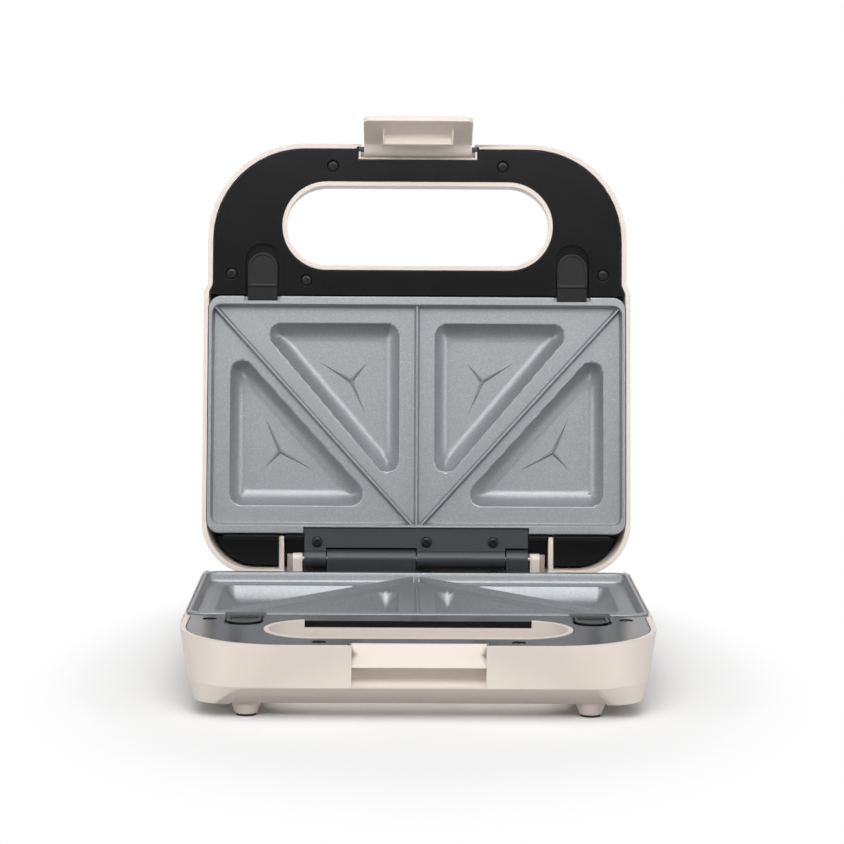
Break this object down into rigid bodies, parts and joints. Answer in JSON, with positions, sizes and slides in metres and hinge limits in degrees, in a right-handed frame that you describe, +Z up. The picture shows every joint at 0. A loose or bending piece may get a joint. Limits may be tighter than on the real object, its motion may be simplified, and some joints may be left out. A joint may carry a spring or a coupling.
{
  "type": "sandwich toaster",
  "caption": "Sandwich toaster standing open: beige shells with through handles, black inner frames, non-stick plates with triangular pockets, slide clips and a hooked latch",
  "frame": {"origin": "On the worktop under the middle of the open toaster's bounding box.", "axes": "+X is the toaster's right seen from the front, +Y points to the rear, where the lid stands, and +Z is up."},
  "size_m": [0.23, 0.2798, 0.278],
  "materials": {
    "shell_beige": "satin moulded",
    "frame_black": "high gloss",
    "nonstick_plate": "glossy non-stick coating on a casting",
    "heater_steel": "heat-tinted tube",
    "bright_sheet": "bright rolled sheet",
    "hinge_steel": "dark coated steel",
    "plain_steel": "zinc plated",
    "dark_screws": "blackened",
    "white_plastic": "moulded",
    "black_rubber": "soft matte",
    "red_lens": "clear tinted",
    "green_lens": "clear tinted",
    "lamp_glass": "clear"
  },
  "bodies": {
    "base": {"base_shell": "shell_beige", "lower_frame": "frame_black", "lower_plate": "nonstick_plate", "lower_heater": "heater_steel", "lower_reflector": "bright_sheet", "thermostat": "plain_steel", "thermal_fuse": "plain_steel", "terminal_block": "white_plastic", "cord_grommet": "black_rubber", "foot_pads": "black_rubber", "lower_hinge_leaf": "hinge_steel", "lower_hinge_screws": "plain_steel", "hinge_pin": "plain_steel", "base_frame_screws": "dark_screws", "lower_spring_left": "plain_steel", "lower_spring_right": "plain_steel"},
    "lid": {"lid_shell": "shell_beige", "upper_frame": "frame_black", "upper_plate": "nonstick_plate", "upper_heater": "heater_steel", "upper_reflector": "bright_sheet", "upper_hinge_leaf": "hinge_steel", "upper_hinge_screws": "plain_steel", "lid_frame_screws": "dark_screws", "latch_pin": "hinge_steel", "power_lens": "red_lens", "ready_lens": "green_lens", "indicator_lamps": "lamp_glass", "lamp_holder": "white_plastic", "upper_spring_left": "plain_steel", "upper_spring_right": "plain_steel"},
    "latch": {"latch": "shell_beige"},
    "lower_clip_left": {"lower_clip_left": "frame_black"},
    "lower_clip_right": {"lower_clip_right": "frame_black"},
    "upper_clip_left": {"upper_clip_left": "frame_black"},
    "upper_clip_right": {"upper_clip_right": "frame_black"}
  },
  "joints": [
    {"name": "lid_hinge", "type": "hinge", "parent": "base", "child": "lid", "pos_m": [0, 0.08466, 0.0411], "axis": [1, 0, 0], "range_deg": [0, 100]},
    {"name": "latch_hinge", "type": "hinge", "parent": "lid", "child": "latch", "pos_m": [0, 0.12027, 0.26004], "axis": [-1, 0, 0], "range_deg": [-19.5, 70.5]},
    {"name": "lower_clip_left_slide", "type": "slide", "parent": "base", "child": "lower_clip_left", "axis": [0, -1, 0], "range_m": [0, 0.004], "stiffness_N_per_m": 800, "springref_m": -0.002, "deforming": ["lower_spring_left"]},
    {"name": "lower_clip_right_slide", "type": "slide", "parent": "base", "child": "lower_clip_right", "axis": [0, -1, 0], "range_m": [0, 0.004], "stiffness_N_per_m": 800, "springref_m": -0.002, "deforming": ["lower_spring_right"]},
    {"name": "upper_clip_left_slide", "type": "slide", "parent": "lid", "child": "upper_clip_left", "axis": [0, 0.1736, 0.9848], "range_m": [0, 0.004], "stiffness_N_per_m": 800, "springref_m": -0.002, "deforming": ["upper_spring_left"]},
    {"name": "upper_clip_right_slide", "type": "slide", "parent": "lid", "child": "upper_clip_right", "axis": [0, 0.1736, 0.9848], "range_m": [0, 0.004], "stiffness_N_per_m": 800, "springref_m": -0.002, "deforming": ["upper_spring_right"]}
  ]
}
